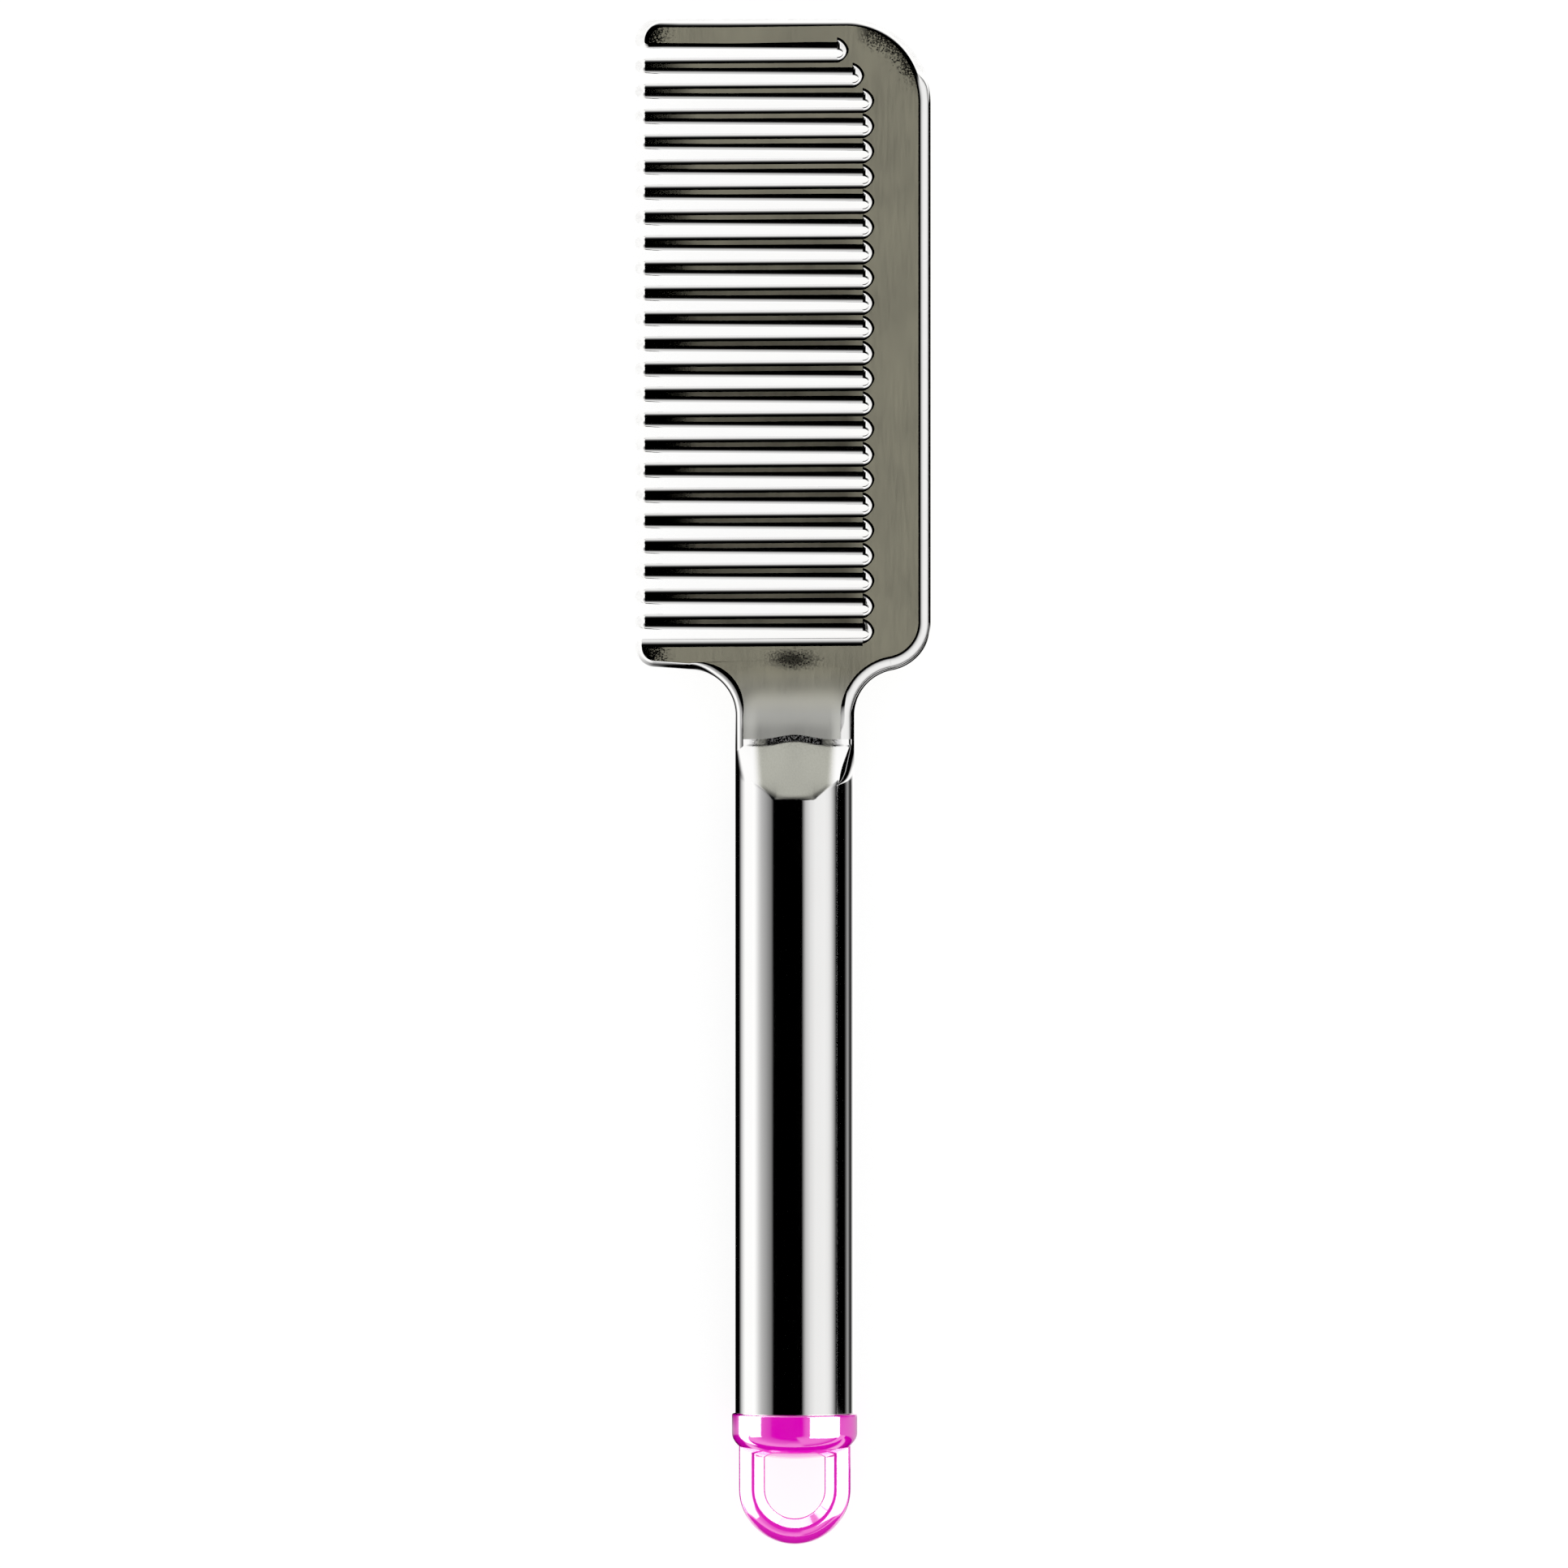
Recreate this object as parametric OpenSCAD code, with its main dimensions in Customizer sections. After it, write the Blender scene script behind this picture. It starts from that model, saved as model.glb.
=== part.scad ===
// Flat metal comb with a row of long round-edged teeth, a tubular handle and a hanging loop.
// It lies face up: the teeth point to -X, the spine is at +X and the loop is at -Y.
// The origin is under the middle of the whole comb, on the surface that it lies on.

/* [Blade] */
// Overall width, from the tooth tips to the back of the spine
blade_w = 40; // [38:0.5:46]
// Thickness of the blade and of its teeth
blade_t = 3.2; // [2.8:0.1:3.6]
// Width of the spine behind the ends of the gaps
spine_w = 8.7; // [7:0.1:10]
// Radius of the spine's free corner
spine_corner_r = 11.5; // [9:0.5:13]
// Radius of the spine's corner beside the handle
shoulder_r = 6.6; // [5.8:0.1:7]
// Radius of the hollows that lead into the neck
hollow_r = 6.21; // [5.8:0.01:7]
// Length of the neck, from the last guard tooth to the mouth of the handle
neck_len = 8.8; // [7.5:0.1:12]
// How far the neck's swell stays in from the neck's sides
swell_inset = 2; // [1.6:0.1:3]

/* [Teeth] */
// Number of gaps between the teeth
gap_count = 24; // [16:1:28]
// Distance between the centre lines of neighbouring gaps
tooth_pitch = 3.4; // [3.2:0.05:3.8]
// Clear width of a gap
gap_w = 1.25; // [1:0.05:1.5]
// Width of the broad guard tooth at each end of the row
guard_w = 4.1; // [3.8:0.1:5]
// How far the first gap stops short of the others, beside the round corner
first_gap_short = 3.2; // [2.4:0.1:4]
// How far the second gap stops short of the others
second_gap_short = 1.15; // [0.6:0.05:1.8]

/* [Tang] */
// Width of the tang inside the handle
tang_w = 12.6; // [10:0.1:12.6]
// Length of the tang inside the handle
tang_len = 24; // [14:1:40]
// Corner cut at the end of the tang
tang_chamfer = 2; // [1:0.5:4]

/* [Handle tube] */
// Distance from the back of the spine to the handle's axis
handle_inset = 18.5; // [17.5:0.1:20]
// Outer diameter of the tube
tube_od = 16; // [15.6:0.1:16.6]
// Wall of the tube
tube_wall = 0.8; // [0.6:0.05:1]
// Whole length of the tube, with its pressed mouth
tube_len = 91.4; // [70:0.1:110]
// Length over which the mouth is pressed down onto the blade
ramp_len = 8.5; // [7:0.1:12]
// Clearance between the tang and the pressed mouth
mouth_clearance = 0.05; // [0.04:0.01:0.1]
// Rounding of the pressed mouth's flats where they leave the round tube
crest_soft = 0.4; // [0.2:0.1:0.8]
// Rounding of the pressed mouth's flats at its lip
lip_soft = 4; // [2:0.1:4.2]

/* [End cap] */
// Outer diameter of the cap
cap_d = 16.9; // [16.7:0.1:18]
// Length of the cap's straight rim
cap_rim = 2.6; // [2:0.1:4]
// Height of the cap's domed end
dome_h = 3.5; // [3:0.1:5]
// Diameter of the flat in the middle of the domed end
dome_flat_d = 3; // [1:0.1:6]
// Length of the plug inside the tube
plug_len = 12; // [8:0.5:20]
// Wall of the hollow plug
plug_wall = 1.8; // [1.4:0.1:2.5]
// Radial clearance between the plug's body and the tube
plug_clearance = 0.15; // [0.1:0.01:0.2]
// Radial clearance between the plug's ridges and the tube
ridge_clearance = 0.02; // [0.01:0.01:0.04]
// Number of grip ridges round the plug
ridge_count = 3; // [2:1:3]
// Length of one grip ridge along the plug
ridge_len = 1.2; // [0.8:0.1:1.6]

/* [Hanging loop] */
// Overall width of the loop
loop_w = 15; // [14:0.1:15.2]
// Width of the loop's window
window_w = 8; // [7:0.1:9]
// Distance from the cap's end to the centre of the loop's bend
loop_drop = 4; // [3:0.1:8]
// Thickness of the loop at its ridge
loop_t = 4.4; // [3.6:0.1:5]
// Thickness of the loop at its inner and outer edges
loop_edge_t = 1.8; // [1.2:0.1:2.4]
// Depth of the loop's feet in the cap
foot_depth = 4.4; // [3.6:0.1:4.6]
// Clearance round the loop's feet in their sockets
foot_clearance = 0.05; // [0.03:0.01:0.08]

/* [Hidden] */
$fn = 96;

// Cuts run past the faces that they open by this much
overrun = 1;
// Rounding of every edge of the blade, which makes each tooth a full round
edge_r = (tooth_pitch - gap_w) / 2;
bore_d = tube_od - 2 * tube_wall;

// Places along the comb
blade_len = 2 * guard_w + gap_w + (gap_count - 1) * tooth_pitch;
cap_len = cap_rim + dome_h;
comb_len = blade_len + neck_len + tube_len + cap_len + loop_drop + loop_w / 2;
y_top = comb_len / 2;
y_bottom = y_top - blade_len;
y_mouth = y_bottom - neck_len;
y_round = y_mouth - ramp_len;
y_tube_end = y_mouth - tube_len;
y_cap_end = y_tube_end - cap_len;
y_bend = y_cap_end - loop_drop;
y_gap = [for (i = [0:gap_count - 1]) y_top - guard_w - gap_w / 2 - i * tooth_pitch];

// Places across the comb, and the height of the handle's axis
x_spine = blade_w / 2;
x_tip = -blade_w / 2;
x_handle = x_spine - handle_inset;
gap_short = [for (i = [0:gap_count - 1]) i == 0 ? first_gap_short : i == 1 ? second_gap_short : 0];
x_gap_end = [for (short = gap_short) x_spine - spine_w - gap_w / 2 - short];
z_axis = cap_d / 2;

// Centres of the blade's rounded outline
spine_corner = [x_spine - spine_corner_r, y_top - spine_corner_r];
guard_corner_r = guard_w - edge_r;
x_guard_corner = x_tip + guard_corner_r;
y_first_guard = y_top - guard_corner_r;
y_last_guard = y_bottom + guard_corner_r;
y_hollow = y_bottom - hollow_r;
near_hollow = [x_handle + tube_od / 2 + hollow_r, y_hollow];
far_hollow = [x_handle - tube_od / 2 - hollow_r, y_hollow];
// The shoulder's arc runs smoothly into the near hollow
shoulder_x = x_spine - shoulder_r;
shoulder_rise = sqrt(pow(shoulder_r + hollow_r, 2) - pow(near_hollow.x - shoulder_x, 2));
shoulder = [shoulder_x, y_hollow + shoulder_rise];
blend_turn = atan2(shoulder_rise, near_hollow.x - shoulder_x);

// Steps along the neck's swell, points round the mouth, and rings along it
swell_steps = 12;
ring_sides = 64;
ring_steps = 12;
// The mouth's facets stay this far inside the round tube's wall
facet_step = 0.02;
mouth_half = blade_t / 2 + mouth_clearance;

// Diameters of the plug's body and of its ridges
plug_d = bore_d - 2 * plug_clearance;
ridge_d = bore_d - 2 * ridge_clearance;
ridge_pitch = plug_len / (ridge_count + 1);
dome_steps = 12;
// Place of the loop's ridge, as a share of the way from its window to its outside
ridge_share = 0.43;

// Half of the blade's edge: x runs out from the flat, y is the thickness
module edge_section() {
    side = blade_t / 2 - edge_r;
    translate([0, -side]) square([edge_r, 2 * side]);
    for (up = [0, 1])
        mirror([0, up]) translate([0, side]) intersection() {
            circle(edge_r);
            square(edge_r);
        }
}

// The same edge, facing the centre of an opening of this radius
module inward_edge(radius) {
    translate([radius + edge_r, 0]) mirror([1, 0]) edge_section();
}

// The same edge, round a corner of this radius
module outward_edge(radius) {
    translate([radius - edge_r, 0]) edge_section();
}

// An edge that follows an arc round a centre, from this direction and through this turn
module edge_arc(centre, from, turn) {
    translate(centre) rotate([0, 0, from]) mirror([0, turn < 0 ? 1 : 0, 0])
        rotate_extrude(angle = abs(turn)) children();
}

// A straight edge that starts here and runs in this direction, with the flat on its left
module edge_line(start, angle, length) {
    translate(start) rotate([0, 0, angle]) rotate([90, 0, 90])
        linear_extrude(length) mirror([1, 0]) edge_section();
}

// The rounded rim of one gap: its closed end and its two banks
module gap_rim(i) {
    bank_len = x_gap_end[i] - x_tip - edge_r;
    edge_arc([x_gap_end[i], y_gap[i]], -90, 180) inward_edge(gap_w / 2);
    edge_line([x_gap_end[i], y_gap[i] - tooth_pitch / 2], 180, bank_len);
    edge_line([x_tip + edge_r, y_gap[i] + tooth_pitch / 2], 0, bank_len);
}

// The rounded ends of the thin teeth, and the inner corners of the guard teeth
module tooth_tips() {
    for (i = [0:gap_count - 2])
        edge_arc([x_tip + edge_r, y_gap[i] - tooth_pitch / 2], 90, 180) edge_section();
    edge_arc([x_tip + edge_r, y_first_guard], 180, 90) edge_section();
    edge_arc([x_tip + edge_r, y_last_guard], 90, 90) edge_section();
}

// The rounded edge all round the outside of the blade
module outer_edge() {
    x_in = x_spine - edge_r;
    neck_run = y_hollow - y_mouth;
    half_neck = tube_od / 2 - edge_r;
    edge_arc([x_guard_corner, y_first_guard], 90, 90) outward_edge(guard_corner_r);
    edge_line([spine_corner.x, y_top - edge_r], 180, spine_corner.x - x_guard_corner);
    edge_arc(spine_corner, 0, 90) outward_edge(spine_corner_r);
    edge_line([x_in, shoulder.y], 90, spine_corner.y - shoulder.y);
    edge_arc(shoulder, 0, -blend_turn) outward_edge(shoulder_r);
    edge_arc(near_hollow, 180, -blend_turn) inward_edge(hollow_r);
    edge_line([x_handle + half_neck, y_mouth], 90, neck_run);
    edge_line([x_handle - half_neck, y_hollow], 270, neck_run);
    edge_arc(far_hollow, 0, 90) inward_edge(hollow_r);
    edge_line([x_guard_corner, y_bottom + edge_r], 0, far_hollow.x - x_guard_corner);
    edge_arc([x_guard_corner, y_last_guard], 180, 90) outward_edge(guard_corner_r);
}

// The hollow on one side of the neck, filled up to its flat
module hollow_web(centre, outline) {
    difference() {
        polygon(outline);
        translate(centre) circle(hollow_r + edge_r);
    }
}

// The flat of the blade, inside all its rounded edges
module flat_outline() {
    half_neck = tube_od / 2 - edge_r;
    difference() {
        union() {
            translate([x_guard_corner, y_bottom + edge_r])
                square([spine_corner.x - x_guard_corner, blade_len - 2 * edge_r]);
            translate([spine_corner.x, shoulder.y])
                square([spine_corner_r - edge_r, spine_corner.y - shoulder.y]);
            translate(spine_corner) circle(spine_corner_r - edge_r);
            translate(shoulder) circle(shoulder_r - edge_r);
            for (y = [y_first_guard, y_last_guard])
                translate([x_guard_corner, y]) circle(guard_corner_r - edge_r);
            translate([x_handle - half_neck, y_mouth]) square([2 * half_neck, y_hollow - y_mouth]);
            hollow_web(near_hollow, [[x_handle, y_hollow], near_hollow, shoulder, [x_handle, shoulder.y]]);
            hollow_web(far_hollow, [far_hollow, [x_handle, y_hollow], [x_handle, y_bottom + edge_r],
                                    [far_hollow.x, y_bottom + edge_r]]);
        }
        for (i = [0:gap_count - 1]) {
            translate([x_tip, y_gap[i] - tooth_pitch / 2]) square([x_gap_end[i] - x_tip, tooth_pitch]);
            translate([x_gap_end[i], y_gap[i]]) circle(tooth_pitch / 2);
        }
    }
}

// The swell on both faces of the neck, which rises from the flat to the outside of the mouth
module neck_swell() {
    half = tube_od / 2 - swell_inset;
    rise = mouth_half + tube_wall - blade_t / 2;
    slope = [for (i = [0:swell_steps]) let (part = i / swell_steps)
        [y_bottom - part * neck_len, blade_t / 2 + rise * (1 - cos(180 * part)) / 2]];
    for (under = [0, 1])
        mirror([0, 0, under]) translate([x_handle - half, 0, 0]) rotate([90, 0, 90])
            linear_extrude(2 * half) polygon(concat(slope, [[y_mouth, 0], [y_bottom, 0]]));
}

// The tang that the handle grips, with its end corners cut
module tang() {
    half = tang_w / 2 - edge_r;
    y_end = y_mouth - tang_len;
    translate([x_handle, 0, -blade_t / 2]) linear_extrude(blade_t)
        polygon([[-half, y_mouth], [half, y_mouth], [half, y_end + tang_chamfer],
                 [half - tang_chamfer, y_end], [tang_chamfer - half, y_end], [-half, y_end + tang_chamfer]]);
    edge_line([x_handle + half, y_end + tang_chamfer], 90, tang_len - tang_chamfer);
    edge_line([x_handle - half, y_mouth], 270, tang_len - tang_chamfer);
}

module comb_blade() {
    color([0.5, 0.49, 0.45]) translate([0, 0, z_axis]) {
        translate([0, 0, -blade_t / 2]) linear_extrude(blade_t) flat_outline();
        for (i = [0:gap_count - 1]) gap_rim(i);
        tooth_tips();
        outer_edge();
        neck_swell();
        tang();
    }
}

// The lower of two heights, with the corner between them rounded over this length
function soft_min(one, other, soft) =
    let (near = max(soft - abs(one - other), 0)) min(one, other) - near * near / (4 * soft);

// A circle of points, cut down above and below to this height with rounded corners
function ring(y, radius, height, soft) =
    [for (j = [0:ring_sides - 1]) let (a = 360 * j / ring_sides)
        [x_handle + radius * cos(a), y,
         sign(sin(a)) * max(soft_min(radius * abs(sin(a)), height, soft), 0)]];

// One face of the mouth's wall, from the round tube to the lip
function ring_stack(round_r, mouth_r, lip_height) =
    [for (k = [0:ring_steps]) let (part = k / ring_steps, start = round_r + crest_soft)
        each ring(y_round + part * ramp_len, round_r + part * (mouth_r - round_r),
                  start + part * (lip_height - start), crest_soft + part * part * (lip_soft - crest_soft))];

// The mouth of the tube, pressed down onto the neck from above and below
module pressed_mouth() {
    layer = ring_sides * (ring_steps + 1);
    last = ring_sides * ring_steps;
    outer = ring_stack(tube_od / 2 - facet_step, tube_od / 2, mouth_half + tube_wall);
    inner = ring_stack(bore_d / 2 / cos(180 / ring_sides) + facet_step, bore_d / 2, mouth_half);
    sides = [for (k = [0:ring_steps - 1], j = [0:ring_sides - 1])
        let (a = k * ring_sides + j, b = k * ring_sides + (j + 1) % ring_sides)
            each [[a, b, b + ring_sides], [a, b + ring_sides, a + ring_sides],
                  [layer + b, layer + a, layer + b + ring_sides],
                  [layer + a, layer + a + ring_sides, layer + b + ring_sides]]];
    ends = [for (j = [0:ring_sides - 1])
        let (b = (j + 1) % ring_sides)
            each [[last + j, last + b, layer + last + b], [last + j, layer + last + b, layer + last + j],
                  [b, j, layer + b], [j, layer + j, layer + b]]];
    polyhedron(concat(outer, inner), concat(sides, ends));
}

// A profile drawn as radius and place along Y, turned round the handle's axis
module turned() {
    translate([x_handle, 0, 0]) rotate([-90, 0, 0]) rotate_extrude() children();
}

module handle_tube() {
    color([0.78, 0.78, 0.77]) translate([0, 0, z_axis]) {
        turned() translate([bore_d / 2, y_tube_end]) square([tube_wall, y_round - y_tube_end]);
        pressed_mouth();
    }
}

// The section of the loop at its place beside the handle's axis, with this much added all round
module loop_section(extra) {
    inner = window_w / 2 - extra;
    outer = loop_w / 2 + extra;
    ridge = window_w / 2 + ridge_share * (loop_w - window_w) / 2;
    edge = loop_edge_t / 2 + extra;
    top = loop_t / 2 + extra;
    polygon([[inner, -edge], [ridge, -top], [outer, -edge], [outer, edge], [ridge, top], [inner, edge]]);
}

// The two straight legs of the loop, from one place along Y to another
module loop_legs(from, to, extra) {
    for (side = [0, 1])
        translate([x_handle, to, 0]) mirror([side, 0, 0])
            rotate([90, 0, 0]) linear_extrude(to - from) loop_section(extra);
}

// The rim and its domed end
module cap_profile() {
    dome = [for (i = [0:dome_steps]) let (a = 90 * i / dome_steps)
        [dome_flat_d / 2 + (cap_d - dome_flat_d) / 2 * sin(a), y_cap_end + dome_h * (1 - cos(a))]];
    polygon(concat([[0, y_cap_end]], dome, [[cap_d / 2, y_tube_end], [0, y_tube_end]]));
}

// The hollow plug, with grip ridges round it and a tip that tapers over the thickness of its wall
module plug_profile() {
    r = plug_d / 2;
    tip = y_tube_end + plug_len;
    polygon([[r - plug_wall, y_tube_end], [r, y_tube_end], [r, tip - plug_wall],
             [r - plug_wall / 2, tip], [r - plug_wall, tip]]);
    for (i = [1:ridge_count])
        translate([r - plug_wall / 2, y_tube_end + i * ridge_pitch - ridge_len])
            square([(ridge_d - plug_d + plug_wall) / 2, ridge_len]);
}

module end_cap() {
    color([0.85, 0.1, 0.65]) translate([0, 0, z_axis]) {
        difference() {
            turned() cap_profile();
            loop_legs(y_cap_end - overrun, y_cap_end + foot_depth, foot_clearance);
        }
        turned() plug_profile();
    }
}

module hang_loop() {
    color([0.95, 0.45, 0.75]) translate([0, 0, z_axis]) {
        translate([x_handle, y_bend]) rotate([0, 0, 180]) rotate_extrude(angle = 180) loop_section(0);
        loop_legs(y_bend, y_cap_end + foot_depth, 0);
    }
}

comb_blade();
handle_tube();
end_cap();
hang_loop();
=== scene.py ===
import math
import bpy
import mathutils
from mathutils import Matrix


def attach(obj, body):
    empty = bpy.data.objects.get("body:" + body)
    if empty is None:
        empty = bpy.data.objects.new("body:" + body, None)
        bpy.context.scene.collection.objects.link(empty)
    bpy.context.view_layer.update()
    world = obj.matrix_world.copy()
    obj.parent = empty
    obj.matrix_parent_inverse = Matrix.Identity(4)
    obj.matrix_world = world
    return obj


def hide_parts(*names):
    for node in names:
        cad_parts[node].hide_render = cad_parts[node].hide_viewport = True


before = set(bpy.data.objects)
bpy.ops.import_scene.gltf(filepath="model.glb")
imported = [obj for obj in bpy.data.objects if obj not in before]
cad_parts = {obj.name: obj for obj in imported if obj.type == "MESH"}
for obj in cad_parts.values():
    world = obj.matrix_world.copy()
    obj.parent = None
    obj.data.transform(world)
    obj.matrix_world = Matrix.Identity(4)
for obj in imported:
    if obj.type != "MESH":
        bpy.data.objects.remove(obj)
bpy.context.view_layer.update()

# ---------------------------------------------------------------- places and sizes, in mm, as in the solids
MM = 0.001
X_HANDLE, Z_AXIS = 1.5, 8.45                  # the handle's axis, and its height above the floor
X_TIP, X_SPINE = -20.0, 20.0                  # the tips of the teeth, and the spine's outer side
Y_TOP, Y_BOTTOM = 102.725, 15.075             # the toothed plate's far and near ends
Y_MOUTH, Y_ROUND = 6.275, -2.225              # the tube's lip, and where its pressed face begins
Y_TUBE_END, Y_CAP_END = -85.125, -91.225      # the rear ends of the tube and of the cap's dome
Y_BEND = -95.225                              # where the loop's straight legs end and its bend begins
HALF_T = 1.6                                  # half the plate's thickness
GAPS, PITCH, FIRST_GAP = 24, 3.4, 98.0        # the gaps' number and spacing, and the farthest one's y
X_ROOT, ROOT_R = 10.63, 0.78                  # where the gaps end, and the radius of their ends
GAP_ENDS = [7.17, 9.27] + [X_ROOT] * (GAPS - 2)  # the two farthest gaps are shorter
HOLLOW_R, Y_HOLLOW = 6.21, 8.865              # the hollow shoulders between the plate and the neck
X_HOLLOW_FAR, X_HOLLOW_NEAR = -12.71, 15.71
SHOULDER_R, SHOULDER = 6.6, (13.4, 21.465)    # the spine's near corner, and its centre
CORNER_R, CORNER = 11.5, (8.5, 91.225)        # the spine's large far corner, and its centre
MEET = 100.3889                               # the angle, in degrees, at which hollow and near corner meet
GUARD_R, GUARD_LOW_R = 3.025, 2.69            # the outer corners of the two guard teeth
TUBE_R, TUBE_WALL, LIP_H = 8.0, 0.8, 2.45     # LIP_H is half the tube's height at its lip
CAP_R, CAP_RIM, CAP_EDGE_R = 8.45, 2.6, 0.22  # the cap's rim: its radius, its length, its edge's radius
PLUG_R, PLUG_LEN = 7.15, 11.5                 # the cap's plug, inside the tube
DOME_H, DOME_FLAT_R = 3.5, 1.5                # the cap's dome, and the small flat at its middle
LOOP_IN_R, LOOP_OUT_R, LOOP_EDGE_H = 4.0, 7.5, 0.9
RIDGE_AT, RIDGE_H = 0.43, 2.2                 # the loop's ridge: its place across the loop, and its height


def lerp(a, b, t):
    return a + (b - a) * t


def smooth(t):
    t = min(max(t, 0.0), 1.0)
    return t * t * (3 - 2 * t)


def unit(v):
    n = math.sqrt(sum(c * c for c in v)) or 1.0
    return tuple(c / n for c in v)


SAME_PLACE = 20000  # steps in a mm: points within one step of each other are one point


class Skin:
    """A mesh under construction: points in mm, their heights from the handle's axis, and a normal for
    each corner of each face."""

    def __init__(self):
        self.points, self.index, self.faces, self.normals, self.slots = [], {}, [], [], []

    def point(self, p):
        key = tuple(round(c * SAME_PLACE) for c in p)
        if key not in self.index:
            self.index[key] = len(self.points)
            self.points.append((p[0] * MM, p[1] * MM, (p[2] + Z_AXIS) * MM))
        return self.index[key]

    def face(self, corners, slot=0):
        """Adds a face, wound so that it faces the way that its corners' normals do."""
        ids, normals, area = [], [], [0.0, 0.0, 0.0]
        for (p, n), (q, _) in zip(corners, corners[1:] + corners[:1]):
            for axis, (i, j) in enumerate(((1, 2), (2, 0), (0, 1))):
                area[axis] += p[i] * q[j] - p[j] * q[i]
            place = self.point(p)
            if place not in ids:
                ids.append(place)
                normals.append(unit(n))
        if len(ids) < 3:
            return
        if sum(a * n[axis] for n in normals for axis, a in enumerate(area)) < 0:
            ids.reverse()
            normals.reverse()
        self.faces.append(ids)
        self.normals.extend(normals)
        self.slots.append(slot)

    def twin(self, corners, slot=0):
        """The face, and its mirror image under the mid-plane."""
        self.face(corners, slot)
        self.face([((p[0], p[1], -p[2]), (n[0], n[1], -n[2])) for p, n in reversed(corners)], slot)

    def build(self, name, materials):
        mesh = bpy.data.meshes.new(name)
        mesh.from_pydata(self.points, [], self.faces)
        for material in materials:
            mesh.materials.append(material)
        for polygon, slot in zip(mesh.polygons, self.slots):
            polygon.material_index = slot
            polygon.use_smooth = True
        mesh.normals_split_custom_set(self.normals)
        obj = bpy.data.objects.new(name, mesh)
        bpy.context.scene.collection.objects.link(obj)
        return obj


# ---------------------------------------------------------------- material nodes
class Nodes:
    """Short calls that add and link shader nodes."""

    def __init__(self, tree):
        self.tree = tree

    def add(self, kind, inputs=None, **settings):
        node = self.tree.nodes.new(kind)
        for key, value in settings.items():
            setattr(node, key, value)
        for key, value in (inputs or {}).items():
            if isinstance(value, bpy.types.NodeSocket):
                self.tree.links.new(value, node.inputs[key])
            else:
                node.inputs[key].default_value = value
        return node

    def math(self, operation, a, b=0.0, clamp=False):
        return self.add("ShaderNodeMath", {0: a, 1: b}, operation=operation, use_clamp=clamp).outputs[0]

    def distance(self, dx, dy):
        return self.math("SQRT", self.math("ADD", *[self.math("MULTIPLY", d, d) for d in (dx, dy)]))

    def product(self, *sockets):
        out = sockets[0]
        for socket in sockets[1:]:
            out = self.math("MULTIPLY", out, socket)
        return out

    def most(self, *sockets):
        out = sockets[0]
        for socket in sockets[1:]:
            out = self.math("MAXIMUM", out, socket)
        return out

    def place(self, output="Object"):
        """The x, y and z of a texture coordinate, in metres for the object's own."""
        coords = self.add("ShaderNodeTexCoord").outputs[output]
        return self.add("ShaderNodeSeparateXYZ", {0: coords}).outputs

    def span(self, value, low, high, out_low=0.0, out_high=1.0, kind="LINEAR"):
        return self.add("ShaderNodeMapRange", {0: value, 1: low, 2: high, 3: out_low, 4: out_high},
                        interpolation_type=kind).outputs[0]

    def ramp(self, value, stops):
        node = self.add("ShaderNodeValToRGB", {0: value})
        line = node.color_ramp
        for k, (at, grey) in enumerate(stops):
            element = line.elements[k] if k < 2 else line.elements.new(at)
            element.position = at
            element.color = (grey, grey, grey, 1)
        return node.outputs[0]

    def noise(self, vector, scale, detail=3.0, rough=0.5):
        return self.add("ShaderNodeTexNoise", {"Vector": vector, "Scale": scale, "Detail": detail,
                                                "Roughness": rough}).outputs[0]

    def stretched(self, scale):
        coords = self.add("ShaderNodeTexCoord").outputs["Object"]
        return self.add("ShaderNodeMapping", {"Vector": coords, "Scale": scale}).outputs[0]

    def mixed(self, factor, a, b):
        node = self.add("ShaderNodeMix", data_type="RGBA")
        for socket, value in ((0, factor), (6, a), (7, b)):
            if isinstance(value, bpy.types.NodeSocket):
                self.tree.links.new(value, node.inputs[socket])
            else:
                node.inputs[socket].default_value = value if socket == 0 else (*value, 1)
        return node.outputs[2]

    def bump(self, height, strength, distance):
        return self.add("ShaderNodeBump", {"Height": height, "Strength": strength,
                                            "Distance": distance}).outputs[0]


def surface(name):
    """A new material, its node helper and its main shader."""
    material = bpy.data.materials.new(name)
    material.use_nodes = True
    nodes = Nodes(material.node_tree)
    return material, nodes, material.node_tree.nodes["Principled BSDF"]


def wire(nodes, bsdf, links=None, **values):
    """Sets the shader's inputs: plain values by name, with _ for a space, and links from other nodes."""
    for key, value in values.items():
        bsdf.inputs[key.replace("_", " ")].default_value = value
    for key, socket in (links or {}).items():
        nodes.tree.links.new(socket, bsdf.inputs[key])


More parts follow.
